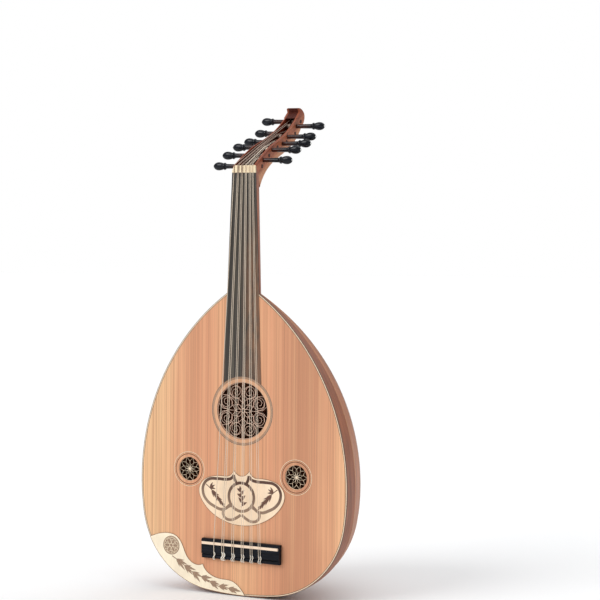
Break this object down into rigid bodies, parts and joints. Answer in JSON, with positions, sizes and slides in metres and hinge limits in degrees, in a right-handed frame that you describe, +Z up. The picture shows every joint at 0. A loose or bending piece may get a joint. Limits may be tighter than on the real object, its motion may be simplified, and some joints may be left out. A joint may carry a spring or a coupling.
{
  "type": "oud",
  "caption": "Short-necked pear-shaped lute with a ribbed bowl, carved roses, bent-back pegbox, tapered tuning pegs and strings tied at a flat bridge.",
  "frame": {"origin": "tail end of the rim on the centre line, where the soundboard plane meets the tail of the bowl", "axes": "+Z up the neck, +Y from the soundboard into the bowl, +X to the treble side (the right, seen from the front)"},
  "size_m": [0.385, 0.2136, 0.8093],
  "materials": {
    "bowl_mahogany_dark": "satin lacquer",
    "bowl_mahogany_light": "satin lacquer",
    "cedar": "satin, fine vertical grain",
    "binding": "satin",
    "spruce": "raw",
    "ring_inlay": "satin",
    "purfling": "satin",
    "rose_wood": "satin",
    "guard_maple": "satin",
    "bone": "polished bone",
    "fingerboard_wood": "oiled",
    "ebony": "polished",
    "peg_ebony": "polished",
    "neck_mahogany": "satin lacquer",
    "tail_cap_wood": "satin lacquer",
    "wound_string": "silver-plated winding",
    "nylon_string": "clear nylon"
  },
  "bodies": {
    "body": {"bridge": "ebony", "bridge_saddle": "bone", "cheek_bass": "neck_mahogany", "cheek_treble": "neck_mahogany", "corner_guard": "guard_maple", "course_1": "wound_string", "course_2": "wound_string", "course_3": "wound_string", "course_4": "nylon_string", "course_5": "nylon_string", "course_6": "nylon_string", "edge_binding": "binding", "face_braces": "spruce", "fingerboard": "fingerboard_wood", "main_rose": "rose_wood", "main_rose_ring": "ring_inlay", "neck": "neck_mahogany", "neck_block": "spruce", "nut": "bone", "pegbox_floor": "neck_mahogany", "pegbox_head": "neck_mahogany", "pickguard": "guard_maple", "rib_01": "bowl_mahogany_dark", "rib_02": "bowl_mahogany_light", "rib_03": "bowl_mahogany_dark", "rib_04": "bowl_mahogany_light", "rib_05": "bowl_mahogany_dark", "rib_06": "bowl_mahogany_light", "rib_07": "bowl_mahogany_dark", "rib_08": "bowl_mahogany_light", "rib_09": "bowl_mahogany_dark", "rib_10": "bowl_mahogany_light", "rib_11": "bowl_mahogany_dark", "rib_12": "bowl_mahogany_light", "rib_13": "bowl_mahogany_dark", "rib_14": "bowl_mahogany_light", "rib_15": "bowl_mahogany_dark", "rib_16": "bowl_mahogany_light", "rib_17": "bowl_mahogany_dark", "rim_lining": "spruce", "small_rose_bass": "rose_wood", "small_rose_rings": "purfling", "small_rose_treble": "rose_wood", "soundboard_bass": "cedar", "soundboard_treble": "cedar", "tail_block": "spruce", "tail_cap": "tail_cap_wood"},
    "peg_bass_1": {"peg_bass_1": "peg_ebony"},
    "peg_bass_2": {"peg_bass_2": "peg_ebony"},
    "peg_bass_3": {"peg_bass_3": "peg_ebony"},
    "peg_bass_4": {"peg_bass_4": "peg_ebony"},
    "peg_bass_5": {"peg_bass_5": "peg_ebony"},
    "peg_bass_6": {"peg_bass_6": "peg_ebony"},
    "peg_treble_1": {"peg_treble_1": "peg_ebony"},
    "peg_treble_2": {"peg_treble_2": "peg_ebony"},
    "peg_treble_3": {"peg_treble_3": "peg_ebony"},
    "peg_treble_4": {"peg_treble_4": "peg_ebony"},
    "peg_treble_5": {"peg_treble_5": "peg_ebony"}
  },
  "joints": [
    {"name": "peg_bass_1_turn", "type": "hinge", "parent": "body", "child": "peg_bass_1", "pos_m": [0, 0.023, 0.7058], "axis": [-1, 0, 0], "continuous": true},
    {"name": "peg_bass_2_turn", "type": "hinge", "parent": "body", "child": "peg_bass_2", "pos_m": [0, 0.05, 0.724], "axis": [-1, 0, 0], "continuous": true},
    {"name": "peg_bass_3_turn", "type": "hinge", "parent": "body", "child": "peg_bass_3", "pos_m": [0, 0.0825, 0.7385], "axis": [-1, 0, 0], "continuous": true},
    {"name": "peg_bass_4_turn", "type": "hinge", "parent": "body", "child": "peg_bass_4", "pos_m": [0, 0.118, 0.7485], "axis": [-1, 0, 0], "continuous": true},
    {"name": "peg_bass_5_turn", "type": "hinge", "parent": "body", "child": "peg_bass_5", "pos_m": [0, 0.1525, 0.764], "axis": [-1, 0, 0], "continuous": true},
    {"name": "peg_bass_6_turn", "type": "hinge", "parent": "body", "child": "peg_bass_6", "pos_m": [0, 0.175, 0.785], "axis": [-1, 0, 0], "continuous": true},
    {"name": "peg_treble_1_turn", "type": "hinge", "parent": "body", "child": "peg_treble_1", "pos_m": [0, 0.028, 0.716], "axis": [1, 0, 0], "continuous": true},
    {"name": "peg_treble_2_turn", "type": "hinge", "parent": "body", "child": "peg_treble_2", "pos_m": [0, 0.062, 0.7337], "axis": [1, 0, 0], "continuous": true},
    {"name": "peg_treble_3_turn", "type": "hinge", "parent": "body", "child": "peg_treble_3", "pos_m": [0, 0.102, 0.7452], "axis": [1, 0, 0], "continuous": true},
    {"name": "peg_treble_4_turn", "type": "hinge", "parent": "body", "child": "peg_treble_4", "pos_m": [0, 0.122, 0.7574], "axis": [1, 0, 0], "continuous": true},
    {"name": "peg_treble_5_turn", "type": "hinge", "parent": "body", "child": "peg_treble_5", "pos_m": [0, 0.158, 0.7762], "axis": [1, 0, 0], "continuous": true}
  ]
}
